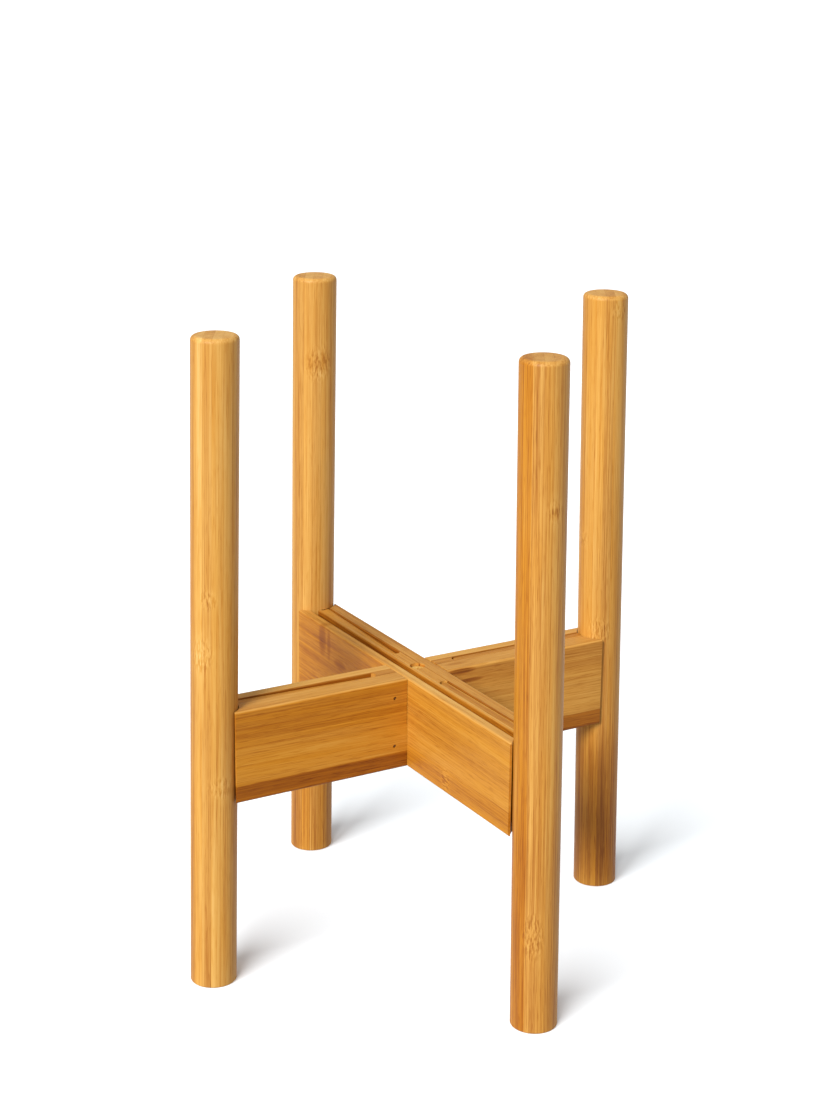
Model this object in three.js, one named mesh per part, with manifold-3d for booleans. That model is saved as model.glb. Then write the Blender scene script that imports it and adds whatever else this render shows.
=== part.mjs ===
// Adjustable bamboo plant stand.
//
// Two beams cross in a half-lap joint. Each beam is two side boards glued and
// nailed to a short core, which leaves an open cavity in each of its arms. A
// slider runs in each cavity and carries one round leg, so that each leg moves
// straight out to take a wider pot. Two stop pins cross each cavity through a
// slot in the slider: they guide it, hold it level and end its travel.
//
// Millimetres, +Z up. The origin is on the floor, under the middle of the cross.
// +X is the right arm, -X the left, -Y the front and +Y the back.

import * as THREE from 'three';
import { mergeVertices } from 'three/addons/utils/BufferGeometryUtils.js';
import Module from 'manifold-3d';

const wasm = await Module();
wasm.setup();

// ---- Driving dimensions ----

// Legs.
const LEG_HEIGHT = 400;
const LEG_RADIUS = 14;
const FOOT_REACH = 141.4; // middle of the cross to a leg's axis, at the floor
const LEAN = 0.0215; // how far a leg comes in for each millimetre of height
const LEG_TOP_ROUND = 3;
const LEG_FOOT_ROUND = 1;
const MORTISE_DEPTH = 12;

// Beams. They are flush with each other, top and bottom.
const BEAM_TOP = 177;
const BEAM_BOTTOM = 119;
const BEAM_WIDTH = 28.5;
const BEAM_HALF_LENGTH = 130.5;
const ARRIS_ROUND = 1.6;

// The cavity between a beam's side boards, a little off the beam's middle.
const CAVITY_WIDTH = 6.4;
const CAVITY_OFFSET = 2.4;
const CAVITY_END = 27.5; // middle of the cross to the cavity's rounded inner end

// The groove along the top of the beam that runs from back to front.
const GROOVE_WIDTH = 4.6;
const GROOVE_OFFSET = -5.6;
const GROOVE_DEPTH = 7;

// Sliders and their travel.
const TRAVEL = 35;
const SLIDER_WIDTH = 5.4;
const SLIDER_INNER_END = 28.8;
const SLIDER_HEIGHT = 54.8;
const SLIDER_DROP = 0.2; // top edge below the beam's top, at the leg
const SLIDER_TILT = { front: 0.3, back: 1, left: 1, right: 0.1 }; // 1: square to its leg, 0: level

// Fasteners.
const PIN_RADIUS = 3;
const PIN_REACH = [80, 100]; // stop pins, from the middle of the cross
const PIN_HEIGHT = 148;
const PIN_HOLE_DEPTHS = [8, 5]; // in the thick and in the thin side board
const BRAD_RADIUS = 0.8;
const BRAD_LENGTH = 25;
const BRAD_REACH = 23;
const BRAD_HEIGHTS = { upper: 165.7, lower: 134.2 };
const BRAD_SINK = 0.4; // head below the board's face
const SCREW_HEAD_RADIUS = 4.5;
const SCREW_SHANK_RADIUS = 2;
const SCREW_HEAD_HEIGHT = 3;
const SCREW_LENGTH = 42;
const SCREW_SINK = 1.8; // head below the beam's top

// Gaps.
const GAP = 0.3; // between pieces that touch
const GLUE_LINE = 0.15; // between a glued board and the core
const LEG_GAP = 0.5; // between a leg and the hollow end of its beam

// Facets round a full turn.
const LEG_SIDES = 48;
const PIN_SIDES = 20;
const BRAD_SIDES = 8;

// ---- Worked-out dimensions ----

const HALF_WIDTH = BEAM_WIDTH / 2;
const LAP_HEIGHT = (BEAM_TOP + BEAM_BOTTOM) / 2;
const CAVITY_NEAR = CAVITY_OFFSET - CAVITY_WIDTH / 2;
const CAVITY_FAR = CAVITY_OFFSET + CAVITY_WIDTH / 2;
const CORE_WIDTH = CAVITY_WIDTH - 2 * GLUE_LINE;
const LEG_AXIS_AT_BEAM_TOP = FOOT_REACH - LEAN * BEAM_TOP;

// ---- Materials ----

const bamboo = (colour) => new THREE.MeshStandardMaterial({ color: colour, roughness: 0.42, metalness: 0 });
const legMaterial = () => bamboo('#d99b4e');
const boardMaterial = () => bamboo('#cf8f42');
const coreMaterial = () => bamboo('#c88a44');
const pinMaterial = () => bamboo('#d8b27a');
const metal = (colour) => new THREE.MeshStandardMaterial({ color: colour, roughness: 0.35, metalness: 1 });
const steelMaterial = () => metal('#8d8a84');
const screwMaterial = () => metal('#c9a04c');

// ---- Helpers ----

function box(x, y, z) {
  const geometry = new THREE.BoxGeometry(x[1] - x[0], y[1] - y[0], z[1] - z[0]);
  return geometry.translate((x[0] + x[1]) / 2, (y[0] + y[1]) / 2, (z[0] + z[1]) / 2);
}

// A rod along Y from y[0] to y[1].
function rodAlongY(radius, x, y, z, sides) {
  const geometry = new THREE.CylinderGeometry(radius, radius, y[1] - y[0], sides);
  return geometry.translate(x, (y[0] + y[1]) / 2, z);
}

// A rod along Z from z[0] to z[1].
function rodAlongZ(radius, x, y, z, sides) {
  const geometry = new THREE.CylinderGeometry(radius, radius, z[1] - z[0], sides).rotateX(Math.PI / 2);
  return geometry.translate(x, y, (z[0] + z[1]) / 2);
}

// A round piece about the Z axis, from points of [radius, height].
function turned(profile, sides) {
  const points = profile.map(([radius, height]) => new THREE.Vector2(radius, height));
  return new THREE.LatheGeometry(points, sides).rotateX(Math.PI / 2);
}

function toSolid(geometry) {
  const bare = geometry.clone();
  bare.deleteAttribute('normal');
  bare.deleteAttribute('uv');
  const merged = mergeVertices(bare, 1e-4);
  const mesh = new wasm.Mesh({
    numProp: 3,
    vertProperties: Float32Array.from(merged.attributes.position.array),
    triVerts: Uint32Array.from(merged.index.array),
  });
  return new wasm.Manifold(mesh);
}

function fromSolid(solid) {
  const mesh = solid.getMesh();
  const geometry = new THREE.BufferGeometry();
  geometry.setAttribute('position', new THREE.BufferAttribute(mesh.vertProperties, 3));
  geometry.setIndex(new THREE.BufferAttribute(mesh.triVerts, 1));
  return geometry;
}

// The geometry left when the cutters are taken away from the blank.
function cut(blank, cutters) {
  let solid = toSolid(blank);
  for (const cutter of cutters) {
    solid = solid.subtract(toSolid(cutter));
  }
  return fromSolid(solid);
}

// The geometry that two shapes share.
function shared(first, second) {
  return fromSolid(toSolid(first).intersect(toSolid(second)));
}

function named(name, geometry, material) {
  const mesh = new THREE.Mesh(geometry, material);
  mesh.name = name;
  return mesh;
}

// ---- Beam pieces, in a frame whose X runs along the beam ----

// A side board's section, with its two outer edges rounded.
function boardSection(inner, outer) {
  const out = Math.sign(outer - inner);
  const round = ARRIS_ROUND;
  const section = new THREE.Shape();
  section.moveTo(inner, BEAM_BOTTOM);
  section.lineTo(outer - out * round, BEAM_BOTTOM);
  section.quadraticCurveTo(outer, BEAM_BOTTOM, outer, BEAM_BOTTOM + round);
  section.lineTo(outer, BEAM_TOP - round);
  section.quadraticCurveTo(outer, BEAM_TOP, outer - out * round, BEAM_TOP);
  section.lineTo(inner, BEAM_TOP);
  section.closePath();
  return section;
}

function boardBlank(inner, outer) {
  const options = { depth: 2 * BEAM_HALF_LENGTH, bevelEnabled: false, curveSegments: 3 };
  const geometry = new THREE.ExtrudeGeometry(boardSection(inner, outer), options);
  const alongX = new THREE.Matrix4().makeBasis(
    new THREE.Vector3(0, 1, 0),
    new THREE.Vector3(0, 0, 1),
    new THREE.Vector3(1, 0, 0),
  );
  return geometry.applyMatrix4(alongX).translate(-BEAM_HALF_LENGTH, 0, 0);
}

// The half-lap notch: the upper beam loses its lower half there, and the lower beam its upper half.
function lapNotch(isUpper) {
  const reach = HALF_WIDTH + GAP;
  const z = isUpper ? [BEAM_BOTTOM - 1, LAP_HEIGHT + GAP / 2] : [LAP_HEIGHT - GAP / 2, BEAM_TOP + 1];
  return box([-reach, reach], [-BEAM_WIDTH, BEAM_WIDTH], z);
}

// The hollow in each end of a beam, which the leg fits when it is pushed in.
function endHollows() {
  const z = [BEAM_BOTTOM - 1, BEAM_TOP + 1];
  return [-1, 1].map((arm) => (
    rodAlongZ(LEG_RADIUS + LEG_GAP, arm * LEG_AXIS_AT_BEAM_TOP, 0, z, 2 * LEG_SIDES)
  ));
}

function pinHoles() {
  const y = [CAVITY_NEAR - PIN_HOLE_DEPTHS[0] - GAP, CAVITY_FAR + PIN_HOLE_DEPTHS[1] + GAP];
  const places = PIN_REACH.flatMap((reach) => [-reach, reach]);
  return places.map((x) => rodAlongY(PIN_RADIUS + GAP, x, y, PIN_HEIGHT, PIN_SIDES));
}

// Where a brad lies along Y: it goes in from the side that `from` gives, -1 or 1.
function bradSpan(from, slack) {
  const head = from * (HALF_WIDTH - BRAD_SINK);
  const tip = head - from * (BRAD_LENGTH + slack);
  const mouth = slack > 0 ? from * (HALF_WIDTH + 1) : head;
  return [Math.min(mouth, tip), Math.max(mouth, tip)];
}

function bradHoles(from) {
  const y = bradSpan(from, GAP);
  const places = [-BRAD_REACH, BRAD_REACH];
  return places.flatMap((x) => (
    Object.values(BRAD_HEIGHTS).map((z) => rodAlongY(BRAD_RADIUS + GAP, x, y, z, BRAD_SIDES))
  ));
}

function screwProfile(slack) {
  const head = BEAM_TOP - SCREW_SINK;
  const tip = head - SCREW_LENGTH - slack;
  const mouth = slack > 0 ? BEAM_TOP + 1 : head;
  return [
    [0, tip],
    [SCREW_SHANK_RADIUS + slack, tip],
    [SCREW_SHANK_RADIUS + slack, head - SCREW_HEAD_HEIGHT],
    [SCREW_HEAD_RADIUS + slack, head - 0.5],
    [SCREW_HEAD_RADIUS + slack, mouth],
    [0, mouth],
  ];
}

// The screw stands where the two cores cross. A beam's own Y offset is the same for both.
function screwHole(isUpper) {
  const x = isUpper ? -CAVITY_OFFSET : CAVITY_OFFSET;
  return turned(screwProfile(GAP), PIN_SIDES).translate(x, CAVITY_OFFSET, 0);
}

function groove() {
  const y = [GROOVE_OFFSET - GROOVE_WIDTH / 2, GROOVE_OFFSET + GROOVE_WIDTH / 2];
  return box([-BEAM_HALF_LENGTH - 1, BEAM_HALF_LENGTH + 1], y, [BEAM_TOP - GROOVE_DEPTH, BEAM_TOP + 1]);
}

function sideBoard(beam, inner, outer) {
  const cutters = [lapNotch(beam.isUpper), ...endHollows(), ...pinHoles()];
  cutters.push(...bradHoles(beam.bradsFrom), screwHole(beam.isUpper));
  if (beam.isUpper) {
    cutters.push(groove());
  }
  return cut(boardBlank(inner, outer), cutters);
}

// The core's outline from above: its ends are hollow, so that each cavity has a rounded inner end.
function core(beam) {
  const half = CORE_WIDTH / 2;
  const radius = half - 0.15;
  const hollowCentre = CAVITY_END + radius;
  const end = CAVITY_END + 1.5;
  const spread = Math.acos((hollowCentre - end) / radius);
  const outline = new THREE.Shape();
  outline.moveTo(-end, -half);
  outline.lineTo(end, -half);
  outline.absarc(hollowCentre, 0, radius, Math.PI + spread, Math.PI - spread, true);
  outline.lineTo(end, half);
  outline.lineTo(-end, half);
  outline.absarc(-hollowCentre, 0, radius, spread, -spread, true);
  outline.closePath();
  const options = { depth: BEAM_TOP - BEAM_BOTTOM, bevelEnabled: false, curveSegments: 8 };
  const blank = new THREE.ExtrudeGeometry(outline, options).translate(0, CAVITY_OFFSET, BEAM_BOTTOM);
  return cut(blank, [lapNotch(beam.isUpper), ...bradHoles(beam.bradsFrom), screwHole(beam.isUpper)]);
}

function stopPin(x) {
  const y = [CAVITY_NEAR - PIN_HOLE_DEPTHS[0], CAVITY_FAR + PIN_HOLE_DEPTHS[1]];
  return rodAlongY(PIN_RADIUS, x, y, PIN_HEIGHT, PIN_SIDES);
}

function brad(from, x, z) {
  return rodAlongY(BRAD_RADIUS, x, bradSpan(from, 0), z, BRAD_SIDES);
}

// ---- Leg and slider, in a frame whose X runs out along the arm ----

// Points of [radius, height] round one end of a leg, from its side to its end face.
// `inwards` is 1 at the foot and -1 at the top.
function endRound(endHeight, round, inwards) {
  return [0, 30, 60, 90].map((degrees) => {
    const angle = THREE.MathUtils.degToRad(degrees);
    const radius = LEG_RADIUS - round * (1 - Math.cos(angle));
    const depth = round * (1 - Math.sin(angle));
    return [radius, endHeight + inwards * depth];
  });
}

// A leg stands at X 0 in its own frame, leaning in towards the middle as it rises.
function leg(side) {
  const foot = endRound(0, LEG_FOOT_ROUND, 1).reverse();
  const top = endRound(LEG_HEIGHT, LEG_TOP_ROUND, -1);
  const blank = turned([[0, 0], ...foot, ...top, [0, LEG_HEIGHT]], LEG_SIDES);
  const y = side * CAVITY_OFFSET;
  const halfWidth = SLIDER_WIDTH / 2 + GAP;
  const z = [BEAM_TOP - SLIDER_DROP - SLIDER_HEIGHT - 2 * GAP, BEAM_TOP - SLIDER_DROP + GAP];
  const mortise = box([-LEG_RADIUS - 4, -LEG_RADIUS + MORTISE_DEPTH], [y - halfWidth, y + halfWidth], z);
  const lean = new THREE.Matrix4().makeShear(0, 0, 0, 0, -LEAN, 0);
  return cut(blank, [mortise]).applyMatrix4(lean);
}

// The slider from the side. Its edges run square to the leg, or nearer to level, so that its inner
// end sits lower than the beam's top; the slot for the stop pins is level.
function sliderSide(tilt) {
  const legAxis = (z) => FOOT_REACH - LEAN * z;
  const outerTop = BEAM_TOP - SLIDER_DROP;
  const outerBottom = outerTop - SLIDER_HEIGHT;
  const tenon = -LEG_RADIUS + MORTISE_DEPTH - GAP;
  const length = legAxis(outerTop) + tenon - SLIDER_INNER_END;
  const fall = tilt * LEAN * length;
  const outline = new THREE.Shape();
  outline.moveTo(SLIDER_INNER_END, outerBottom - fall);
  outline.lineTo(legAxis(outerBottom) + tenon, outerBottom);
  outline.lineTo(legAxis(outerTop) + tenon, outerTop);
  outline.lineTo(SLIDER_INNER_END, outerTop - fall);
  outline.closePath();
  const slot = new THREE.Path();
  const slotRadius = PIN_RADIUS + GAP;
  const innerEnd = PIN_REACH[0] - TRAVEL;
  slot.absarc(PIN_REACH[1], PIN_HEIGHT, slotRadius, -Math.PI / 2, Math.PI / 2, false);
  slot.absarc(innerEnd, PIN_HEIGHT, slotRadius, Math.PI / 2, (3 * Math.PI) / 2, false);
  slot.closePath();
  outline.holes.push(slot);
  const options = { depth: SLIDER_WIDTH, bevelEnabled: false, curveSegments: 8 };
  const geometry = new THREE.ExtrudeGeometry(outline, options).rotateX(Math.PI / 2);
  return geometry.translate(0, SLIDER_WIDTH / 2, 0);
}

// The slider from above, taller than it is. Its inner end is round, as the cavity's end is.
function sliderPlan() {
  const half = SLIDER_WIDTH / 2;
  const outline = new THREE.Shape();
  outline.moveTo(FOOT_REACH, -half - 1);
  outline.lineTo(FOOT_REACH, half + 1);
  outline.lineTo(SLIDER_INNER_END + half + 1, half + 1);
  outline.lineTo(SLIDER_INNER_END + half, half);
  outline.absarc(SLIDER_INNER_END + half, 0, half, Math.PI / 2, (3 * Math.PI) / 2, false);
  outline.lineTo(SLIDER_INNER_END + half + 1, -half - 1);
  outline.closePath();
  const options = { depth: BEAM_TOP, bevelEnabled: false, curveSegments: 10 };
  return new THREE.ExtrudeGeometry(outline, options).translate(0, 0, BEAM_BOTTOM / 2);
}

function slider(side, tilt) {
  return shared(sliderSide(tilt), sliderPlan()).translate(0, side * CAVITY_OFFSET, 0);
}

// ---- Assembly ----

const BEAMS = [
  { name: 'y_beam', angle: -Math.PI / 2, isUpper: true, bradsFrom: 1, arms: { front: 1, back: -1 } },
  { name: 'x_beam', angle: 0, isUpper: false, bradsFrom: -1, arms: { right: 1, left: -1 } },
];

function addArm(beamGroup, armName, side) {
  const arm = new THREE.Group();
  arm.rotation.z = side > 0 ? 0 : Math.PI;
  const legMesh = named(`leg_${armName}`, leg(side), legMaterial());
  legMesh.position.x = FOOT_REACH;
  const sliderGeometry = slider(side, SLIDER_TILT[armName]);
  arm.add(legMesh, named(`slider_${armName}`, sliderGeometry, coreMaterial()));
  beamGroup.add(arm);
}

function addFasteners(beamGroup, beam, armName, side) {
  const [innerPin, outerPin] = PIN_REACH.map((reach) => stopPin(side * reach));
  beamGroup.add(named(`stop_pin_${armName}_inner`, innerPin, pinMaterial()));
  beamGroup.add(named(`stop_pin_${armName}_outer`, outerPin, pinMaterial()));
  for (const [level, z] of Object.entries(BRAD_HEIGHTS)) {
    const geometry = brad(beam.bradsFrom, side * BRAD_REACH, z);
    beamGroup.add(named(`brad_${armName}_${level}`, geometry, steelMaterial()));
  }
}

function buildBeam(beam) {
  const group = new THREE.Group();
  group.rotation.z = beam.angle;
  const thick = sideBoard(beam, CAVITY_NEAR, -HALF_WIDTH);
  const thin = sideBoard(beam, CAVITY_FAR, HALF_WIDTH);
  group.add(named(`${beam.name}_thick_board`, thick, boardMaterial()));
  group.add(named(`${beam.name}_thin_board`, thin, boardMaterial()));
  group.add(named(`${beam.name}_core`, core(beam), coreMaterial()));
  for (const [armName, side] of Object.entries(beam.arms)) {
    addFasteners(group, beam, armName, side);
    addArm(group, armName, side);
  }
  return group;
}

function lapScrew() {
  const mesh = named('lap_screw', turned(screwProfile(0), PIN_SIDES), screwMaterial());
  mesh.position.set(CAVITY_OFFSET, CAVITY_OFFSET, 0);
  return mesh;
}

const stand = new THREE.Group();
for (const beam of BEAMS) {
  stand.add(buildBeam(beam));
}
stand.add(lapScrew());

export default stand;
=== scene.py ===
"""Looks for the adjustable bamboo plant stand: fine pieces, bamboo materials, light and camera.

Lengths in the shape functions are millimetres, in the CAD's frame. finish_piece scales each mesh to metres.
"""

import math

import bmesh
import bpy
from mathutils import Matrix, Vector


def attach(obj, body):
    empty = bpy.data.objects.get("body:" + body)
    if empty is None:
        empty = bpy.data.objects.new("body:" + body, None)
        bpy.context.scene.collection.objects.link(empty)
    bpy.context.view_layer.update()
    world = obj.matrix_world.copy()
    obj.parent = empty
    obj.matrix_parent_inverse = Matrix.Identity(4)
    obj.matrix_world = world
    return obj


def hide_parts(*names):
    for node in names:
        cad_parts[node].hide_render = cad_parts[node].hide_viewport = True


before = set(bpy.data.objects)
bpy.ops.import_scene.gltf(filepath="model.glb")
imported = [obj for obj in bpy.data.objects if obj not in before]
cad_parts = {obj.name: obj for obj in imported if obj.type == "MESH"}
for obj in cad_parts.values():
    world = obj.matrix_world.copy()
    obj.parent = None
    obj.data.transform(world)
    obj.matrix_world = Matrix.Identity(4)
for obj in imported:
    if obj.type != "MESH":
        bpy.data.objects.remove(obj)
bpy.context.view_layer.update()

MM = 0.001

# Legs.
LEG_HEIGHT = 400
LEG_RADIUS = 14
FOOT_REACH = 141.4
LEAN = 0.0215
LEG_TOP_ROUND = 3
LEG_TOP_STEPS = 8
LEG_FOOT_ROUND = 1
LEG_FOOT_STEPS = 5
MORTISE_DEPTH = 12
LEG_SIDES = 96

# Beams.
BEAM_TOP = 177
BEAM_BOTTOM = 119
HALF_WIDTH = 14.25
BEAM_HALF_LENGTH = 130.5
ARRIS_ROUND = 1.6
EDGE_ROUND = 0.35
EDGE_STEPS = 6
CAVITY_OFFSET = 2.4
CAVITY_NEAR = -0.8
CAVITY_FAR = 5.6
CAVITY_END = 27.5
CORE_WIDTH = 6.1
CORE_HORN = 1.5
HORN_TIP = 0.15
HOLLOW_STEPS = 16
GROOVE = (-7.9, -3.3)
GROOVE_DEPTH = 7

# Sliders and fasteners.
SLIDER_WIDTH = 5.4
SLIDER_INNER_END = 28.8
SLIDER_HEIGHT = 54.8
SLIDER_DROP = 0.2
SLIDER_TILT = {"front": 0.3, "back": 1, "left": 1, "right": 0.1}
SLIDER_ROUND = 0.5
SLIDER_ROUND_STEPS = 4
SLIDER_NOSE_STEPS = 10
SLOT = (45, 100)
SLOT_STEPS = 16
PIN_RADIUS = 3
PIN_CHAMFER = 0.5
PIN_REACH = (80, 100)
PIN_HEIGHT = 148
PIN_HOLE_DEPTHS = (8, 5)
PIN_SIDES = 32
PIN_HOLE_SIDES = 24
BRAD_RADIUS = 0.8
BRAD_LENGTH = 25
BRAD_POINT = 2
BRAD_POINT_RADIUS = 0.12
BRAD_CHAMFER = 0.15
BRAD_DISH_INSET = 0.35
BRAD_DISH_DEPTH = 0.12
BRAD_REACH = 23
BRAD_HEIGHTS = {"upper": 165.7, "lower": 134.2}
BRAD_SINK = 0.4
BRAD_SIDES = 24
BRAD_HOLE_SIDES = 20
SCREW_HEAD_RADIUS = 4.5
SCREW_SHANK_RADIUS = 2
SCREW_HEAD_HEIGHT = 3
SCREW_RIM = 0.5
SCREW_RIM_CHAMFER = 0.15
SCREW_RIM_INSET = 0.2
SCREW_LENGTH = 42
SCREW_POINT = 5
SCREW_POINT_RADIUS = 0.2
SCREW_SINK = 1.8
SCREW_SIDES = 48
SCREW_HOLE_SIDES = 40
RECESS_HALF_LENGTH = 1.6
RECESS_HALF_WIDTH = 0.35
RECESS_DEPTH = 1.2
RECESS_TURN = 25
GAP = 0.3
LEG_GAP = 0.5

# How far cutters reach past what they cut.
BEAM_PAST = 5
LAP_PAST = 30
BRAD_PAST = 3
RECESS_PAST = 1
MORTISE_PAST = 6
SLOT_PAST = 10


# ---- Meshes ----


def mesh_object(name, verts, faces):
    mesh = bpy.data.meshes.new(name)
    mesh.from_pydata(verts, [], faces)
    bm = bmesh.new()
    bm.from_mesh(mesh)
    bmesh.ops.recalc_face_normals(bm, faces=bm.faces)
    bm.to_mesh(mesh)
    bm.free()
    obj = bpy.data.objects.new(name, mesh)
    bpy.context.scene.collection.objects.link(obj)
    return obj


def loft(name, rings):
    """A closed solid through rings of points that match one to one."""
    count = len(rings[0])
    verts = [point for ring in rings for point in ring]
    faces = [tuple(range(count)), tuple(range((len(rings) - 1) * count, len(rings) * count))]
    for level in range(len(rings) - 1):
        low, high = level * count, (level + 1) * count
        for i in range(count):
            j = (i + 1) % count
            faces.append((low + i, low + j, high + j, high + i))
    return mesh_object(name, verts, faces)


def turned(name, profile, sides):
    """A round solid about Z, from one end face to the other. The profile is (radius, height) points."""
    rings = []
    for radius, height in profile:
        turns = [2 * math.pi * i / sides for i in range(sides)]
        rings.append([(radius * math.cos(t), radius * math.sin(t), height) for t in turns])
    return loft(name, rings)


def box(name, x, y, z):
    return loft(name, [[(x[0], y[0], c), (x[1], y[0], c), (x[1], y[1], c), (x[0], y[1], c)] for c in z])


def rounded(points, radii, steps):
    """A polygon with each corner rounded to its own radius."""
    out = []
    for i, corner in enumerate(points):
        radius = radii[i]
        p = Vector(corner)
        if radius == 0:
            out.append(tuple(p))
            continue
        u = (Vector(points[i - 1]) - p).normalized()
        v = (Vector(points[(i + 1) % len(points)]) - p).normalized()
        half = u.angle(v) / 2
        start = p + u * (radius / math.tan(half))
        end = p + v * (radius / math.tan(half))
        centre = p + (u + v).normalized() * (radius / math.sin(half))
        turn = (start - centre).angle(end - centre)
        if (start - centre).cross(end - centre) < 0:
            turn = -turn
        for k in range(steps + 1):
            out.append(tuple(centre + Matrix.Rotation(turn * k / steps, 2) @ (start - centre)))
    return out


def cut(obj, cutters):
    for cutter in cutters:
        modifier = obj.modifiers.new("cut", "BOOLEAN")
        modifier.operation = "DIFFERENCE"
        modifier.solver = "EXACT"
        modifier.object = cutter
    graph = bpy.context.evaluated_depsgraph_get()
    mesh = bpy.data.meshes.new_from_object(obj.evaluated_get(graph))
    obj.modifiers.clear()
    obj.data = mesh
    for cutter in cutters:
        bpy.data.objects.remove(cutter)
    return obj


def placed(obj, matrix):
    obj.data.transform(matrix)
    return obj


ALONG_Y = Matrix.Rotation(-math.pi / 2, 4, "X")


def rod_along_y(name, radius, x, y, z, sides):
    rod = turned(name, [(radius, y[0]), (radius, y[1])], sides)
    return placed(rod, Matrix.Translation((x, 0, z)) @ ALONG_Y)


# ---- Beam pieces, in a frame whose X runs along the beam ----


def lap_notch(is_upper):
    reach = HALF_WIDTH + GAP
    lap = (BEAM_TOP + BEAM_BOTTOM) / 2
    if is_upper:
        z = (BEAM_BOTTOM - BEAM_PAST, lap + GAP / 2)
    else:
        z = (lap - GAP / 2, BEAM_TOP + BEAM_PAST)
    return box("cutter", (-reach, reach), (-LAP_PAST, LAP_PAST), z)


def end_hollows():
    axis = FOOT_REACH - LEAN * BEAM_TOP
    radius = LEG_RADIUS + LEG_GAP
    cutters = []
    for side in (-1, 1):
        profile = [(radius, BEAM_BOTTOM - BEAM_PAST), (radius, BEAM_TOP + BEAM_PAST)]
        hollow = turned("cutter", profile, 2 * LEG_SIDES)
        cutters.append(placed(hollow, Matrix.Translation((side * axis, 0, 0))))
    return cutters


def pin_holes():
    y = (CAVITY_NEAR - PIN_HOLE_DEPTHS[0] - GAP, CAVITY_FAR + PIN_HOLE_DEPTHS[1] + GAP)
    places = [side * reach for side in (-1, 1) for reach in PIN_REACH]
    return [rod_along_y("cutter", PIN_RADIUS + GAP, x, y, PIN_HEIGHT, PIN_HOLE_SIDES) for x in places]


def brad_holes(side_from):
    mouth = side_from * (HALF_WIDTH + BRAD_PAST)
    tip = side_from * (HALF_WIDTH - BRAD_SINK - BRAD_LENGTH - GAP)
    y = (min(mouth, tip), max(mouth, tip))
    cutters = []
    for x in (-BRAD_REACH, BRAD_REACH):
        for z in BRAD_HEIGHTS.values():
            cutters.append(rod_along_y("cutter", BRAD_RADIUS + GAP, x, y, z, BRAD_HOLE_SIDES))
    return cutters


def screw_hole(is_upper):
    head = BEAM_TOP - SCREW_SINK
    tip = head - SCREW_LENGTH - GAP
    shank = SCREW_SHANK_RADIUS + GAP
    rim = SCREW_HEAD_RADIUS + GAP
    profile = [(shank, tip), (shank, head - SCREW_HEAD_HEIGHT), (rim, head - SCREW_RIM),
               (rim, BEAM_TOP + BEAM_PAST)]
    x = -CAVITY_OFFSET if is_upper else CAVITY_OFFSET
    return placed(turned("cutter", profile, SCREW_HOLE_SIDES), Matrix.Translation((x, CAVITY_OFFSET, 0)))


def side_board(name, beam, inner, outer):
    corners = [(inner, BEAM_BOTTOM), (outer, BEAM_BOTTOM), (outer, BEAM_TOP)]
    radii = [EDGE_ROUND, ARRIS_ROUND, ARRIS_ROUND]
    if beam["upper"] and outer < inner:
        bed = BEAM_TOP - GROOVE_DEPTH
        corners += [(GROOVE[0], BEAM_TOP), (GROOVE[0], bed), (GROOVE[1], bed), (GROOVE[1], BEAM_TOP)]
        radii += [EDGE_ROUND, 0, 0, EDGE_ROUND]
    corners.append((inner, BEAM_TOP))
    radii.append(EDGE_ROUND)
    profile = rounded(corners, radii, EDGE_STEPS)
    ends = (-BEAM_HALF_LENGTH, BEAM_HALF_LENGTH)
    board = loft(name, [[(x, y, z) for y, z in profile] for x in ends])
    cutters = [lap_notch(beam["upper"])] + end_hollows() + pin_holes()
    cutters += brad_holes(beam["brads_from"]) + [screw_hole(beam["upper"])]
    return cut(board, cutters)


def core(name, beam):
    """A block with a round hollow across each end, where the arm's slot ends."""
    half = CORE_WIDTH / 2
    radius = half - HORN_TIP
    hollow = CAVITY_END + radius
    end = CAVITY_END + CORE_HORN
    spread = math.acos((hollow - end) / radius)
    outline = [(-end, -half), (end, -half)]
    for k in range(HOLLOW_STEPS + 1):
        turn = math.pi + spread - 2 * spread * k / HOLLOW_STEPS
        outline.append((hollow + radius * math.cos(turn), radius * math.sin(turn)))
    outline += [(end, half), (-end, half)]
    for k in range(HOLLOW_STEPS + 1):
        turn = spread - 2 * spread * k / HOLLOW_STEPS
        outline.append((-hollow + radius * math.cos(turn), radius * math.sin(turn)))
    rings = [[(x, y + CAVITY_OFFSET, z) for x, y in outline] for z in (BEAM_BOTTOM, BEAM_TOP)]
    cutters = [lap_notch(beam["upper"])] + brad_holes(beam["brads_from"]) + [screw_hole(beam["upper"])]
    return cut(loft(name, rings), cutters)


def stop_pin(name, x):
    y = (CAVITY_NEAR - PIN_HOLE_DEPTHS[0], CAVITY_FAR + PIN_HOLE_DEPTHS[1])
    profile = [(PIN_RADIUS - PIN_CHAMFER, y[0]), (PIN_RADIUS, y[0] + PIN_CHAMFER),
               (PIN_RADIUS, y[1] - PIN_CHAMFER), (PIN_RADIUS - PIN_CHAMFER, y[1])]
    return placed(turned(name, profile, PIN_SIDES), Matrix.Translation((x, 0, PIN_HEIGHT)) @ ALONG_Y)


def brad(name, side_from, x, z):
    """A headless nail with a shallow dish at its struck end and a blunt point."""
    profile = [(BRAD_POINT_RADIUS, -BRAD_LENGTH), (BRAD_RADIUS, -BRAD_LENGTH + BRAD_POINT),
               (BRAD_RADIUS, -BRAD_CHAMFER), (BRAD_RADIUS - BRAD_CHAMFER, 0),
               (BRAD_RADIUS - BRAD_DISH_INSET, -BRAD_DISH_DEPTH)]
    head = side_from * (HALF_WIDTH - BRAD_SINK)
    turn = Matrix.Rotation(-side_from * math.pi / 2, 4, "X")
    return placed(turned(name, profile, BRAD_SIDES), Matrix.Translation((x, head, z)) @ turn)


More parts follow.
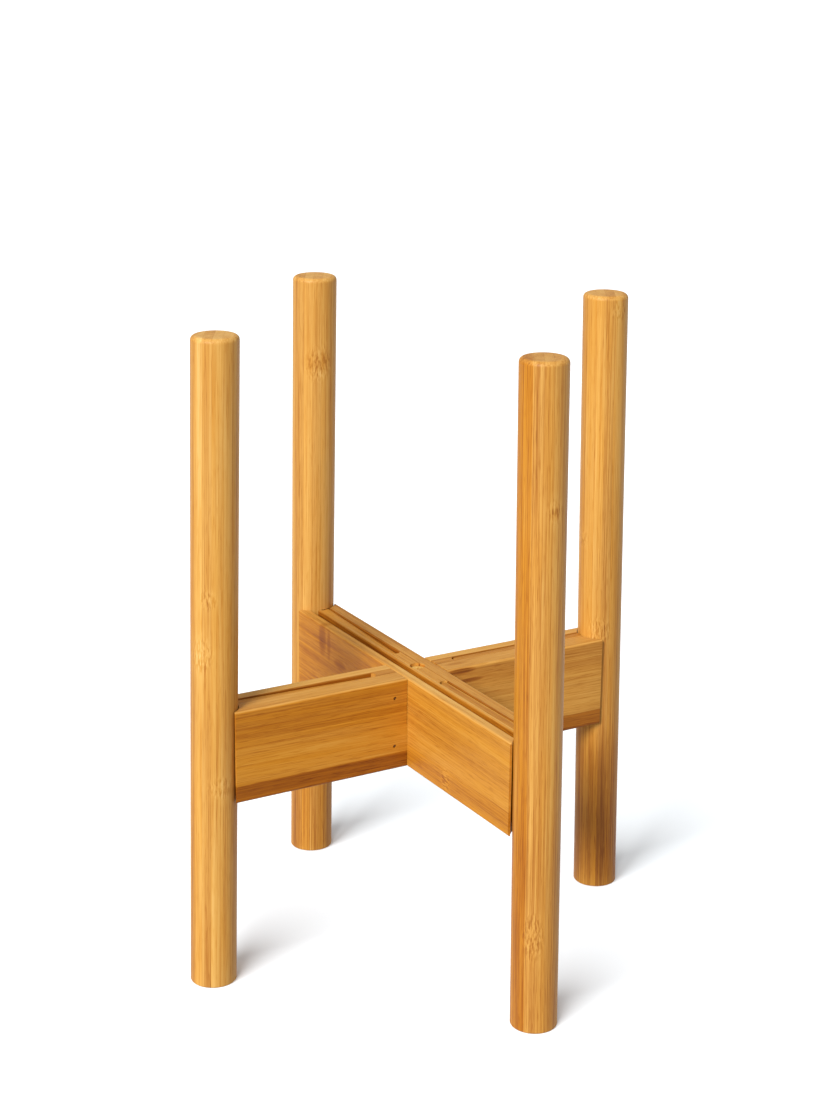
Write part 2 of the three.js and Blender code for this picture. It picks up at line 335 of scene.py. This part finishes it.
def lap_screw(name):
    head = BEAM_TOP - SCREW_SINK
    tip = head - SCREW_LENGTH
    profile = [(SCREW_POINT_RADIUS, tip), (SCREW_SHANK_RADIUS, tip + SCREW_POINT),
               (SCREW_SHANK_RADIUS, head - SCREW_HEAD_HEIGHT), (SCREW_HEAD_RADIUS, head - SCREW_RIM),
               (SCREW_HEAD_RADIUS, head - SCREW_RIM_CHAMFER), (SCREW_HEAD_RADIUS - SCREW_RIM_INSET, head)]
    long = (-RECESS_HALF_LENGTH, RECESS_HALF_LENGTH)
    short = (-RECESS_HALF_WIDTH, RECESS_HALF_WIDTH)
    depth = (head - RECESS_DEPTH, head + RECESS_PAST)
    cross = [box("cutter", long, short, depth), box("cutter", short, long, depth)]
    screw = cut(turned(name, profile, SCREW_SIDES), cross)
    turn = Matrix.Rotation(math.radians(RECESS_TURN), 4, "Z")
    return placed(screw, Matrix.Translation((CAVITY_OFFSET, CAVITY_OFFSET, 0)) @ turn)


# ---- Leg and slider, in a frame whose X runs out along the arm ----


def end_round(end_height, radius, inwards, steps):
    points = []
    for k in range(steps + 1):
        turn = math.pi / 2 * k / steps
        height = end_height + inwards * radius * (1 - math.sin(turn))
        points.append((LEG_RADIUS - radius * (1 - math.cos(turn)), height))
    return points


def leg(name, side):
    foot = end_round(0, LEG_FOOT_ROUND, 1, LEG_FOOT_STEPS)[::-1]
    top = end_round(LEG_HEIGHT, LEG_TOP_ROUND, -1, LEG_TOP_STEPS)
    blank = turned(name, foot + top, LEG_SIDES)
    y = side * CAVITY_OFFSET
    half = SLIDER_WIDTH / 2 + GAP
    bottom = BEAM_TOP - SLIDER_DROP - SLIDER_HEIGHT - 2 * GAP
    mortise = box("cutter", (-LEG_RADIUS - MORTISE_PAST, -LEG_RADIUS + MORTISE_DEPTH), (y - half, y + half),
                  (bottom, BEAM_TOP - SLIDER_DROP + GAP))
    cut(blank, [mortise])
    shear = Matrix.Identity(4)
    shear[0][2] = -LEAN
    return placed(blank, Matrix.Translation((FOOT_REACH, 0, 0)) @ shear)


def slider(name, side, tilt):
    """A tongue with a round inner end, which the tilt sinks: 1 is by the full lean of the leg, 0 is level."""
    outer_top = BEAM_TOP - SLIDER_DROP
    outer_bottom = outer_top - SLIDER_HEIGHT
    tenon = -LEG_RADIUS + MORTISE_DEPTH - GAP
    top_end = FOOT_REACH - LEAN * outer_top + tenon
    bottom_end = FOOT_REACH - LEAN * outer_bottom + tenon
    fall = tilt * LEAN * (top_end - SLIDER_INNER_END)
    half = SLIDER_WIDTH / 2
    y0 = side * CAVITY_OFFSET
    corners = [(-half, outer_bottom), (half, outer_bottom), (half, outer_top), (-half, outer_top)]
    section = rounded(corners, [SLIDER_ROUND] * 4, SLIDER_ROUND_STEPS)
    rings = []
    for k in range(1, SLIDER_NOSE_STEPS + 1):
        turn = math.pi / 2 * k / SLIDER_NOSE_STEPS
        x = SLIDER_INNER_END + half * (1 - math.cos(turn))
        rings.append([(x, y0 + y * math.sin(turn), z - fall) for y, z in section])
    outer = []
    for y, z in section:
        share = (z - outer_bottom) / SLIDER_HEIGHT
        outer.append((bottom_end + (top_end - bottom_end) * share, y0 + y, z))
    blank = loft(name, rings + [outer])
    radius = PIN_RADIUS + GAP
    outline = []
    for centre, start in ((SLOT[1], -math.pi / 2), (SLOT[0], math.pi / 2)):
        for k in range(SLOT_STEPS + 1):
            turn = start + math.pi * k / SLOT_STEPS
            outline.append((centre + radius * math.cos(turn), PIN_HEIGHT + radius * math.sin(turn)))
    slot = loft("cutter", [[(x, y, z) for x, z in outline] for y in (y0 - SLOT_PAST, y0 + SLOT_PAST)])
    return cut(blank, [slot])


# ---- Materials ----


def srgb(r, g, b):
    def channel(value):
        value /= 255
        return value / 12.92 if value <= 0.04045 else ((value + 0.055) / 1.055) ** 2.4

    return (channel(r), channel(g), channel(b), 1)


class Graph:
    """A material's node tree, with short calls for the nodes that it uses."""

    def __init__(self, name):
        self.material = bpy.data.materials.new(name)
        self.material.use_nodes = True
        self.tree = self.material.node_tree
        self.tree.nodes.clear()
        self.output = self.tree.nodes.new("ShaderNodeOutputMaterial")

    def put(self, socket, value):
        if isinstance(value, bpy.types.NodeSocket):
            self.tree.links.new(value, socket)
        elif value is not None:
            socket.default_value = value

    def math(self, operation, a, b=None, c=None, clamp=False):
        node = self.tree.nodes.new("ShaderNodeMath")
        node.operation = operation
        node.use_clamp = clamp
        for socket, value in zip(node.inputs, (a, b, c)):
            self.put(socket, value)
        return node.outputs[0]

    def add(self, *terms):
        total = terms[0]
        for term in terms[1:]:
            total = self.math("ADD", total, term)
        return total

    def scaled(self, value, factor, offset=0.0):
        return self.math("MULTIPLY_ADD", value, factor, offset)

    def swing(self, value, size):
        """A value from 0 to 1, made to swing by size about 0."""
        return self.scaled(value, size, -size / 2)

    def combine(self, x, y, z):
        node = self.tree.nodes.new("ShaderNodeCombineXYZ")
        for socket, value in zip(node.inputs, (x, y, z)):
            self.put(socket, value)
        return node.outputs[0]

    def separate(self, vector):
        node = self.tree.nodes.new("ShaderNodeSeparateXYZ")
        self.put(node.inputs[0], vector)
        return node.outputs[0], node.outputs[1], node.outputs[2]

    def noise(self, vector, detail, roughness=0.5):
        node = self.tree.nodes.new("ShaderNodeTexNoise")
        node.noise_dimensions = "3D"
        self.put(node.inputs["Vector"], vector)
        node.inputs["Scale"].default_value = 1
        node.inputs["Detail"].default_value = detail
        node.inputs["Roughness"].default_value = roughness
        return node

    def white(self, vector):
        node = self.tree.nodes.new("ShaderNodeTexWhiteNoise")
        node.noise_dimensions = "3D"
        self.put(node.inputs["Vector"], vector)
        return node

    def smooth(self, value, low, high, out_low=0.0, out_high=1.0):
        node = self.tree.nodes.new("ShaderNodeMapRange")
        node.interpolation_type = "SMOOTHSTEP"
        for socket, number in zip(node.inputs[:5], (value, low, high, out_low, out_high)):
            self.put(socket, number)
        return node.outputs[0]

    def ramp(self, value, stops):
        node = self.tree.nodes.new("ShaderNodeValToRGB")
        elements = node.color_ramp.elements
        while len(elements) < len(stops):
            elements.new(0.5)
        for element, (place, colour) in zip(elements, stops):
            element.position = place
            element.color = colour
        self.put(node.inputs[0], value)
        return node.outputs[0]

    def mix(self, factor, a, b):
        node = self.tree.nodes.new("ShaderNodeMix")
        node.data_type = "RGBA"
        self.put(node.inputs[0], factor)
        self.put(node.inputs[6], a)
        self.put(node.inputs[7], b)
        return node.outputs[2]

    def bump(self, height, distance):
        node = self.tree.nodes.new("ShaderNodeBump")
        node.inputs["Strength"].default_value = 1
        node.inputs["Distance"].default_value = distance
        self.put(node.inputs["Height"], height)
        return node.outputs[0]

    def shader(self, colour, roughness, normal, **numbers):
        node = self.tree.nodes.new("ShaderNodeBsdfPrincipled")
        self.put(node.inputs["Base Color"], colour)
        self.put(node.inputs["Roughness"], roughness)
        self.put(node.inputs["Normal"], normal)
        for name, value in numbers.items():
            node.inputs[name.replace("_", " ")].default_value = value
        self.tree.links.new(node.outputs[0], self.output.inputs["Surface"])
        return self.material


HONEY = [
    (0.0, srgb(128, 74, 22)),
    (0.25, srgb(172, 112, 43)),
    (0.5, srgb(201, 146, 69)),
    (0.75, srgb(216, 168, 92)),
    (1.0, srgb(230, 191, 122)),
]
AMBER = [
    (0.0, srgb(119, 58, 9)),
    (0.25, srgb(163, 95, 20)),
    (0.5, srgb(197, 129, 33)),
    (0.75, srgb(213, 152, 56)),
    (1.0, srgb(228, 176, 90)),
]
# How far the fibres wander, and curl at the knots, in millimetres. A glue line's width.
SWAY = 1.4
CURL = 1.2
GLUE_LINE = 0.12
# Noises: the scale along the piece, the scale across it, the detail.
SWAY_NOISE = (0.006, 0.03, 2.0)
CURL_NOISE = (0.3, 0.4, 2.0)
BROAD = (0.003, 0.12, 2.0)
STREAK = (0.006, 0.5, 3.0)
FINE = (0.012, 1.7, 3.0)
PORE = (0.085, 2.0, 1.0)
THREAD = (0.008, 0.55, 1.0)
STAIN = (0.009, 0.1, 2.0)
TUFT_SCALES = (0.2, 1.0)
# From and to: where a noise's pores, threads, breaks in the marks and knot tufts begin and end.
PORE_RANGE = (0.54, 0.7)
THREAD_RANGE = (0.004, 0.022)
BREAK_RANGE = (0.38, 0.58)
TUFT_RANGE = (0.4, 0.62)
FIBRE_ROUGHNESS = 0.55
HALO_SPREAD = (1.5, 1.3)
WOOD_ROUGHNESS = 0.42
WOOD_ROUGHNESS_CHANGE = 0.16
# Bump heights in metres.
WOOD_BUMP = 0.00005
METAL_BUMP = 0.00003
METAL_MOTTLE = 900
# A noise place for each strip, so that no two strips' fibres match.
STRIP_SHIFTS = (37.0, 53.0, 71.0)


class Bamboo(Graph):
    """Laminated bamboo, drawn on the "grain" attribute: (along, across, depth) in millimetres.

    strip is a strip's width across and its thickness in depth; shift moves the strips' edges.
    """

    def __init__(self, name, seed, strip, shift):
        super().__init__(name)
        self.seed, self.strip, self.shift = seed, strip, shift
        attribute = self.tree.nodes.new("ShaderNodeAttribute")
        attribute.attribute_name = "grain"
        self.along, self.across, self.depth = self.separate(attribute.outputs["Vector"])

    def spots(self, places):
        """1 in the middle of egg-shaped spots, 0 outside: (along, across, depth, half along, half across)."""
        total = None
        for along, across, depth, half_along, half_across in places:
            a = self.scaled(self.along, 1 / half_along, -along / half_along)
            c = self.scaled(self.across, 1 / half_across, -across / half_across)
            d = self.scaled(self.depth, 1 / half_across, -depth / half_across)
            squares = self.add(*[self.math("MULTIPLY", value, value) for value in (a, c, d)])
            near = self.smooth(squares, 0.0, 1.0, 1.0, 0.0)
            total = near if total is None else self.math("MAXIMUM", total, near)
        return total

    def field(self, along_scale, cross_scale, detail):
        vector = self.combine(self.scaled(self.along, along_scale), self.scaled(self.across, cross_scale),
                              self.scaled(self.depth, cross_scale, self.seed))
        return self.noise(vector, detail)

    def swayed(self, field, amount):
        x, y, _ = self.separate(field.outputs["Color"])
        sideways = self.math("MULTIPLY", amount, self.scaled(x, 1, -0.5))
        inwards = self.math("MULTIPLY", amount, self.scaled(y, 1, -0.5))
        return sideways, inwards

    def bend_fibres(self, tilt, knot):
        """The fibres wander a little, run slightly off the piece's length, and curl at the knots."""
        sideways, inwards = self.swayed(self.field(*SWAY_NOISE), SWAY)
        self.bent_across = self.add(self.across, sideways, self.scaled(self.along, tilt))
        self.bent_depth = self.add(self.depth, inwards)
        if knot is not None:
            sideways, inwards = self.swayed(self.field(*CURL_NOISE), self.scaled(knot, CURL))
            self.bent_across = self.add(self.bent_across, sideways)
            self.bent_depth = self.add(self.bent_depth, inwards)

    def strip_places(self):
        """Where a point is, counted in strips across and in depth."""
        sizes = zip((self.across, self.depth), self.strip, self.shift)
        return [self.scaled(value, 1 / size, offset / size) for value, size, offset in sizes]

    def pick_strips(self):
        """Each strip has a tone and fibres of its own."""
        across, depth = [self.math("FLOOR", place) for place in self.strip_places()]
        cell = self.white(self.combine(across, depth, self.seed + 0.5))
        self.own = self.separate(cell.outputs["Color"])
        self.strip_tone = cell.outputs["Value"]

    def fibres(self, along_scale, cross_scale, detail):
        places = (self.along, self.bent_across, self.bent_depth)
        scales = (along_scale, cross_scale, cross_scale)
        parts = [
            self.add(self.scaled(place, scale), self.scaled(own, shift))
            for place, scale, own, shift in zip(places, scales, self.own, STRIP_SHIFTS)
        ]
        return self.noise(self.combine(*parts), detail, FIBRE_ROUGHNESS).outputs["Fac"]

    def glue_lines(self):
        lines = []
        for place, size in zip(self.strip_places(), self.strip):
            edge = self.math("ABSOLUTE", self.scaled(self.math("FRACT", place), 1, -0.5))
            width = GLUE_LINE / size
            lines.append(self.smooth(edge, 0.5 - 2 * width, 0.5 - width))
        return self.math("MAXIMUM", *lines)

    def band(self, axis, low, high, soft):
        value = {"along": self.along, "across": self.across, "depth": self.depth}[axis]
        rise = self.smooth(value, low - soft, low + soft)
        fall = self.smooth(value, high - soft, high + soft, 1.0, 0.0)
        return self.math("MULTIPLY", rise, fall)


def bamboo(name, seed, strip, shift=(0, 0), tone=0.0, amber=0.8, contrast=(0.25, 0.3), tilt=0.0,
           specular=0.12, stained=0.8, figure=(0.42, 0.34, 0.5, 0.15), bands=(), marks=(), knots=()):
    """Tone runs from dark to light, and amber from the HONEY ramp to the AMBER ramp.

    contrast is how much the strips differ in tone and in amber. stained is how much amber comes and goes
    along them. figure is how strong the grain is: broad bands of tone, streaks with their dark threads, fine
    fibres, and short dark pores. bands are (axis, from, to, softness, change of tone, change of amber); some
    of them are painted shade, under the cross, in the slots and on a board's far half. marks are spots with a
    change of tone, broken up by the fibres; one of them is painted shade in the groove. knots are spots where
    the fibres curl.
    """
    g = Bamboo(name, seed, strip, shift)
    knot = g.spots(knots)
    g.bend_fibres(tilt, knot)
    g.pick_strips()
    broad = g.fibres(*BROAD)
    streak = g.fibres(*STREAK)
    fine = g.fibres(*FINE)
    pore = g.fibres(*PORE)
    thread = g.math("ABSOLUTE", g.scaled(g.fibres(*THREAD), 1, -0.5))
    stain = g.fibres(*STAIN)
    line = g.glue_lines()

    tones = [
        0.5 + tone,
        g.swing(g.strip_tone, contrast[0]),
        g.swing(broad, figure[0]),
        g.swing(streak, figure[1]),
        g.swing(fine, figure[2]),
        g.smooth(pore, *PORE_RANGE, 0.0, -figure[3]),
        g.smooth(thread, *THREAD_RANGE, -figure[1] / 6, 0.0),
        g.scaled(line, -0.1),
    ]
    ambers = [amber, g.swing(g.own[0], contrast[1]), g.swing(stain, stained)]
    for axis, low, high, soft, tone_change, amber_change in bands:
        inside = g.band(axis, low, high, soft)
        tones.append(g.scaled(inside, tone_change))
        ambers.append(g.scaled(inside, amber_change))
    if marks:
        broken = g.smooth(fine, *BREAK_RANGE, 0.35, 1.0)
    for *place, change in marks:
        mark = g.math("MULTIPLY", g.spots([place]), broken)
        tones.append(g.scaled(mark, change))
        ambers.append(g.scaled(mark, -change))
    height = g.add(g.scaled(fine, 0.5), g.scaled(streak, 0.5), g.scaled(pore, -0.25), g.scaled(line, -0.3))
    if knots:
        tuft = g.field(*TUFT_SCALES, 2.0).outputs["Fac"]
        halo = g.spots([(a, c, d, HALO_SPREAD[0] * half_along, HALO_SPREAD[1] * half_across)
                        for a, c, d, half_along, half_across in knots])
        tones.append(g.scaled(halo, 0.05))
        tones.append(g.math("MULTIPLY", knot, g.smooth(tuft, *TUFT_RANGE, 0.12, -0.2)))
        height = g.add(height, g.math("MULTIPLY", knot, tuft))

    value = g.add(*tones)
    share = g.math("MULTIPLY", g.add(*ambers), 1.0, clamp=True)
    colour = g.mix(share, g.ramp(value, HONEY), g.ramp(value, AMBER))
    roughness = g.scaled(streak, WOOD_ROUGHNESS_CHANGE, WOOD_ROUGHNESS)
    return g.shader(colour, roughness, g.bump(height, WOOD_BUMP), Specular_IOR_Level=specular)


def metal(name, stops, roughness, metallic):
    g = Graph(name)
    x, y, z = g.separate(g.tree.nodes.new("ShaderNodeTexCoord").outputs["Object"])
    place = g.combine(*[g.scaled(value, METAL_MOTTLE) for value in (x, y, z)])
    mottle = g.noise(place, 3.0, 0.6).outputs["Fac"]
    return g.shader(g.ramp(mottle, stops), g.scaled(mottle, 0.25, roughness), g.bump(mottle, METAL_BUMP),
                    Metallic=metallic)


NAIL_STEEL = metal(
    "nail_steel",
    [(0.25, srgb(84, 48, 22)), (0.6, srgb(128, 80, 40)), (1.0, srgb(168, 120, 74))],
    roughness=0.4, metallic=0.4,
)
YELLOW_ZINC = metal(
    "yellow_zinc",
    [(0.25, srgb(206, 158, 66)), (0.6, srgb(234, 192, 104)), (1.0, srgb(248, 222, 152))],
    roughness=0.4, metallic=0.3,
)


# ---- Pieces ----


SHARP_ANGLE = 32
# In all four legs the strips' width runs along the first and their thickness along the second.
LEG_ACROSS = Vector((-0.508, -0.861, 0))
LEG_DEPTH = Vector((0.861, -0.508, 0))


def grain_by(obj, to_grain):
    """Gives the mesh its "grain" attribute, from each point in the piece's own frame in millimetres."""
    attribute = obj.data.attributes.new("grain", "FLOAT_VECTOR", "POINT")
    for vertex in obj.data.vertices:
        attribute.data[vertex.index].vector = to_grain(vertex.co)


def finish_piece(obj, place, node, body, material):
    placed(obj, Matrix.Scale(MM, 4) @ place)
    mesh = obj.data
    mesh.materials.clear()
    mesh.materials.append(material)
    for face in mesh.polygons:
        face.use_smooth = True
    mesh.set_sharp_from_angle(angle=math.radians(SHARP_ANGLE))
    normals = obj.modifiers.new("weighted", "WEIGHTED_NORMAL")
    normals.keep_sharp = True
    normals.weight = 100
    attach(obj, body)
    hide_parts(node)


def grain_of_beam(point):
    return (point.x, point.z, point.y)


def grain_of_leg(turn):
    """Undoes the leg's lean and its turn about Z, so that the strips of all four legs lie one way."""
    def to_grain(point):
        offset = turn @ Vector((point.x - FOOT_REACH + LEAN * point.z, point.y, 0))
        return (point.z, offset.dot(LEG_ACROSS), offset.dot(LEG_DEPTH))

    return to_grain


def grain_of_pin(point):
    return (point.y, point.x, point.z)


BOARD_LOOKS = {
    "y_beam_thick_board": {
        "strip": (46, 5.2), "shift": (4, 0.6), "tilt": 0.02, "contrast": (0.1, 0.2), "tone": 0.05,
        "bands": [("across", 118, 134, 0.6, -0.12, 0.1), ("across", 176.2, 180, 0.3, 0.05, -0.8),
                  # The along band darkens the board's far half: painted shade, partly darker grain as well.
                  ("along", -132, -10, 12, -0.14, 0.2)],
        "marks": [(-97, 168, -14, 6, 15, -0.26), (-88, 166, -14, 3, 13, -0.2), (-73, 157, -14, 10, 4, -0.24),
                  # The last mark darkens the groove's far wall along the whole board: painted shade in the
                  # groove.
                  (0, 175.2, -5.2, 2000, 4.1, -0.5)],
        "knots": [(60, 127, -14, 6, 11)],
    },
    "y_beam_thin_board": {
        "strip": (30, 4.9), "shift": (4, -0.7), "tilt": -0.015,
        "bands": [("depth", 10.5, 12.5, 0.2, -0.15, 0.1), ("across", 176.2, 180, 0.3, 0.06, -0.7),
                  # The last band darkens the slot's far wall: painted shade in the slot.
                  ("depth", 4, 6.1, 0.2, -0.25, 0.3)],
        "knots": [(-40, 140, 14, 5, 9), (84, 166, 14, 5, 7)],
    },
    "x_beam_thick_board": {
        "strip": (24.5, 5.4), "shift": (-7, 2.0), "tilt": 0.02, "contrast": (0.15, 0.2), "tone": -0.03,
        "bands": [("across", 118, 129.5, 0.9, -0.34, 0.6), ("across", 154, 178, 3, -0.05, 0.15),
                  ("across", 176.2, 180, 0.3, 0.12, -0.8), ("along", 14, 132, 0.5, -0.02, -0.7)],
        "marks": [(24, 175, -14, 13, 2.6, -0.5), (31, 168, -14, 12, 1.8, -0.35), (20, 163, -14, 9, 1.8, -0.3),
                  (26, 177.5, -6, 12, 2.5, -0.25)],
    },
    "x_beam_thin_board": {
        "strip": (29, 5.0), "shift": (0, 1.0), "tilt": 0.01,
        # The depth band darkens the slot's far wall: painted shade in the slot.
        "bands": [("across", 176.2, 180, 0.3, 0.08, -0.8), ("depth", 4, 6.1, 0.2, -0.4, 0.3)],
        "knots": [(70, 150, 14, 5, 10)],
    },
    "y_beam_core": {"strip": (20, 6.3), "shift": (0, 1.0), "tone": 0.06, "amber": 0.35},
    "x_beam_core": {"strip": (20, 6.3), "shift": (0, 1.0), "amber": 0.5},
}

BEAMS = [
    {"name": "y_beam", "angle": -math.pi / 2, "upper": True, "brads_from": 1,
     "arms": {"front": 1, "back": -1}},
    {"name": "x_beam", "angle": 0, "upper": False, "brads_from": -1,
     "arms": {"right": 1, "left": -1}},
]

END_GRAIN = ("along", 398.2, 405, 1, 0.02, -0.5)
ALL_LEGS_LOOK = {
    "strip": (30, 5.6), "shift": (15, 0.4), "amber": 0.25, "contrast": (0.24, 0.4), "specular": 0.22,
    "stained": 1.4, "figure": (0.5, 0.54, 0.74, 0.12),
}

LEG_LOOKS = {
    "front": {
        "tone": 0.04,
        "bands": [END_GRAIN, ("depth", -15, -6.5, 0.5, -0.12, 0.75), ("depth", 9.5, 15, 2, -0.03, 0.0),
                  ("along", -1, 130, 20, -0.07, 0.0)],
        "marks": [(315.5, 12.2, 6.9, 5, 3.2, -0.22), (320, 11.4, 8, 4, 2, -0.15)],
        "knots": [(317, 12.2, 6.9, 9, 7), (62, 13.8, -2, 19, 8), (205, -11, 8.6, 9, 8),
                  (352, -6, -12.6, 10, 8)],
    },
    "back": {
        "tone": 0.05,
        # The along band darkens the leg below the beams: painted shade under the cross.
        "bands": [END_GRAIN, ("depth", 9.5, 15, 2, -0.03, 0.0), ("along", -1, 110, 8, -0.15, 0.1)],
        "marks": [(346, 13.5, 3.6, 7, 14, -0.16)],
        "knots": [(345, 13.5, 3.6, 15, 12), (104, -13, 5, 11, 9), (250, -3, -13.6, 9, 8)],
    },
    "left": {
        "tone": 0.13,
        "bands": [END_GRAIN, ("depth", -15, -10, 1, -0.16, 0.1), ("depth", -9, -5, 0.3, 0.05, -0.1),
                  ("depth", 9.5, 15, 2, 0.04, 0.0), ("along", -1, 190, 30, -0.08, 0.0)],
        "knots": [(214, 12.3, -7, 14, 10), (248, 13.8, -2.4, 8, 7), (131, 12.9, 5.3, 9, 10),
                  (330, -13, -5, 11, 9), (58, -12, 7, 9, 8)],
    },
    "right": {
        # The two along bands darken the leg below the beams: painted shade under the cross, partly darker
        # wood as well.
        "bands": [END_GRAIN, ("depth", 9.5, 15, 2, -0.03, 0.0), ("along", -1, 108, 24, -0.16, 0.25),
                  ("along", -1, 55, 25, -0.1, 0.1)],
        "knots": [(243, 7.2, -12, 7, 6), (391, 11, 8.7, 9, 8), (182, 13.7, -1, 12, 10), (300, -13, 4, 11, 9)],
    },
}


def build_boards(beam, place, seed):
    shapes = {
        "thick_board": lambda name: side_board(name, beam, CAVITY_NEAR, -HALF_WIDTH),
        "thin_board": lambda name: side_board(name, beam, CAVITY_FAR, HALF_WIDTH),
        "core": lambda name: core(name, beam),
    }
    for i, (part, make) in enumerate(shapes.items()):
        node = f"{beam['name']}_{part}"
        piece = make(f"{node}_fine")
        grain_by(piece, grain_of_beam)
        material = bamboo(f"bamboo_{node}", seed + i, **BOARD_LOOKS[node])
        finish_piece(piece, place, node, "cross", material)


def build_arm(beam, place, arm, side, seed):
    turn = Matrix.Identity(4) if side > 0 else Matrix.Rotation(math.pi, 4, "Z")
    body = f"{arm}_leg"
    leg_piece = leg(f"leg_{arm}_fine", side)
    grain_by(leg_piece, grain_of_leg((place @ turn).to_3x3()))
    finish_piece(leg_piece, place @ turn, f"leg_{arm}", body,
                 bamboo(f"bamboo_leg_{arm}", seed, **ALL_LEGS_LOOK, **LEG_LOOKS[arm]))
    slider_piece = slider(f"slider_{arm}_fine", side, SLIDER_TILT[arm])
    grain_by(slider_piece, grain_of_beam)
    finish_piece(slider_piece, place @ turn, f"slider_{arm}", body,
                 bamboo(f"bamboo_slider_{arm}", seed + 1, strip=(18, 8), shift=(0, 4), amber=0.5))
    for which, reach in zip(("inner", "outer"), PIN_REACH):
        pin = stop_pin(f"stop_pin_{arm}_{which}_fine", side * reach)
        grain_by(pin, grain_of_pin)
        finish_piece(pin, place, f"stop_pin_{arm}_{which}", "cross", PIN_BAMBOO)
    for level, z in BRAD_HEIGHTS.items():
        nail = brad(f"brad_{arm}_{level}_fine", beam["brads_from"], side * BRAD_REACH, z)
        finish_piece(nail, place, f"brad_{arm}_{level}", "cross", NAIL_STEEL)


PIN_BAMBOO = bamboo("bamboo_pin", 90, strip=(20, 20), tone=0.2, amber=0.2)

for index, beam in enumerate(BEAMS):
    place = Matrix.Rotation(beam["angle"], 4, "Z")
    build_boards(beam, place, 10 * index + 3)
    for count, (arm, side) in enumerate(beam["arms"].items()):
        build_arm(beam, place, arm, side, 30 + 20 * index + 7 * count)
finish_piece(lap_screw("lap_screw_fine"), Matrix.Identity(4), "lap_screw", "cross",
             YELLOW_ZINC)


# ---- Stage, light and camera ----

# Lengths are in metres from here on, and angles in degrees. A light's size is its angle.
FLOOR_REACH = 30
SUN_AZIMUTH = 209
KEY = {"energy": 3.75, "elevation": 34, "size": 22}
FLOOR_LIGHT = {"energy": 5.2, "elevation": 36, "size": 44}
SURROUND_ON_OBJECTS = 0.5
SURROUND_SEEN = 1.2
CAMERA_PLACE = (-0.6455, -1.0978, 0.6598)
CAMERA_TURN = (30.53, 17.957, 0.665)
LENS = 70.62


def build_floor():
    far = FLOOR_REACH
    corners = [(-far, -far, 0), (far, -far, 0), (far, far, 0), (-far, far, 0)]
    floor = mesh_object("floor", corners, [(0, 1, 2, 3)])
    g = Graph("floor_white")
    coordinate = g.tree.nodes.new("ShaderNodeTexCoord").outputs["Object"]
    grain = g.noise(coordinate, 2.0).outputs["Fac"]
    colour = g.ramp(grain, [(0.0, (0.9, 0.94, 0.97, 1)), (1.0, (0.93, 0.97, 1, 1))])
    floor.data.materials.append(g.shader(colour, 0.9, None))
    floor.visible_diffuse = False
    return floor


def soft_sun(name, receivers, blockers, energy, elevation, size):
    """A sun from SUN_AZIMUTH that lights the receivers. Only the blockers shade it, or everything if None."""
    data = bpy.data.lights.new(name, "SUN")
    data.energy = energy
    data.angle = math.radians(size)
    azimuth, height = math.radians(SUN_AZIMUTH), math.radians(elevation)
    level = math.cos(height)
    towards = Vector((math.cos(azimuth) * level, math.sin(azimuth) * level, math.sin(height)))
    sun = bpy.data.objects.new(name, data)
    sun.rotation_mode = "QUATERNION"
    sun.rotation_quaternion = towards.to_track_quat("Z", "Y")
    sun.light_linking.receiver_collection = receivers
    sun.light_linking.blocker_collection = blockers
    bpy.context.scene.collection.objects.link(sun)


def light_list(name, state, objects):
    """What a light reaches, or what throws its shadows: only these objects, or all but these."""
    group = bpy.data.collections.new(name)
    for i, obj in enumerate(objects):
        group.objects.link(obj)
        group.collection_objects[i].light_linking.link_state = state
    return group


def build_light(floor):
    """A key light on the stand, a brighter one on the floor that only the legs shade, and a surround."""
    legs = [bpy.data.objects[f"leg_{arm}_fine"] for arm in LEG_LOOKS]
    soft_sun("key", light_list("all_but_floor", "EXCLUDE", [floor]), None, **KEY)
    soft_sun("floor_light", light_list("floor_only", "INCLUDE", [floor]),
             light_list("legs_only", "INCLUDE", legs), **FLOOR_LIGHT)
    world = bpy.data.worlds.new("studio")
    world.use_nodes = True
    tree = world.node_tree
    background = tree.nodes["Background"]
    background.inputs["Color"].default_value = (1, 1, 1, 1)
    strength = tree.nodes.new("ShaderNodeMapRange")
    strength.inputs["To Min"].default_value = SURROUND_ON_OBJECTS
    strength.inputs["To Max"].default_value = SURROUND_SEEN
    tree.links.new(tree.nodes.new("ShaderNodeLightPath").outputs["Is Camera Ray"], strength.inputs["Value"])
    tree.links.new(strength.outputs[0], background.inputs["Strength"])
    bpy.context.scene.world = world


def build_camera():
    yaw, pitch, roll = (math.radians(angle) for angle in CAMERA_TURN)
    forward = Vector((math.sin(yaw) * math.cos(pitch), math.cos(yaw) * math.cos(pitch), -math.sin(pitch)))
    level_right = Vector((math.cos(yaw), -math.sin(yaw), 0))
    level_up = level_right.cross(forward)
    right = level_right * math.cos(roll) + level_up * math.sin(roll)
    up = level_up * math.cos(roll) - level_right * math.sin(roll)
    data = bpy.data.cameras.new("camera")
    data.sensor_width = 36
    data.lens = LENS
    data.clip_start = 0.05
    data.clip_end = 100
    camera = bpy.data.objects.new("camera", data)
    axes = Matrix((right, up, -forward)).transposed().to_4x4()
    camera.matrix_world = Matrix.Translation(CAMERA_PLACE) @ axes
    bpy.context.scene.collection.objects.link(camera)
    bpy.context.scene.camera = camera


build_light(build_floor())
build_camera()
bpy.context.scene.view_settings.view_transform = "Standard"
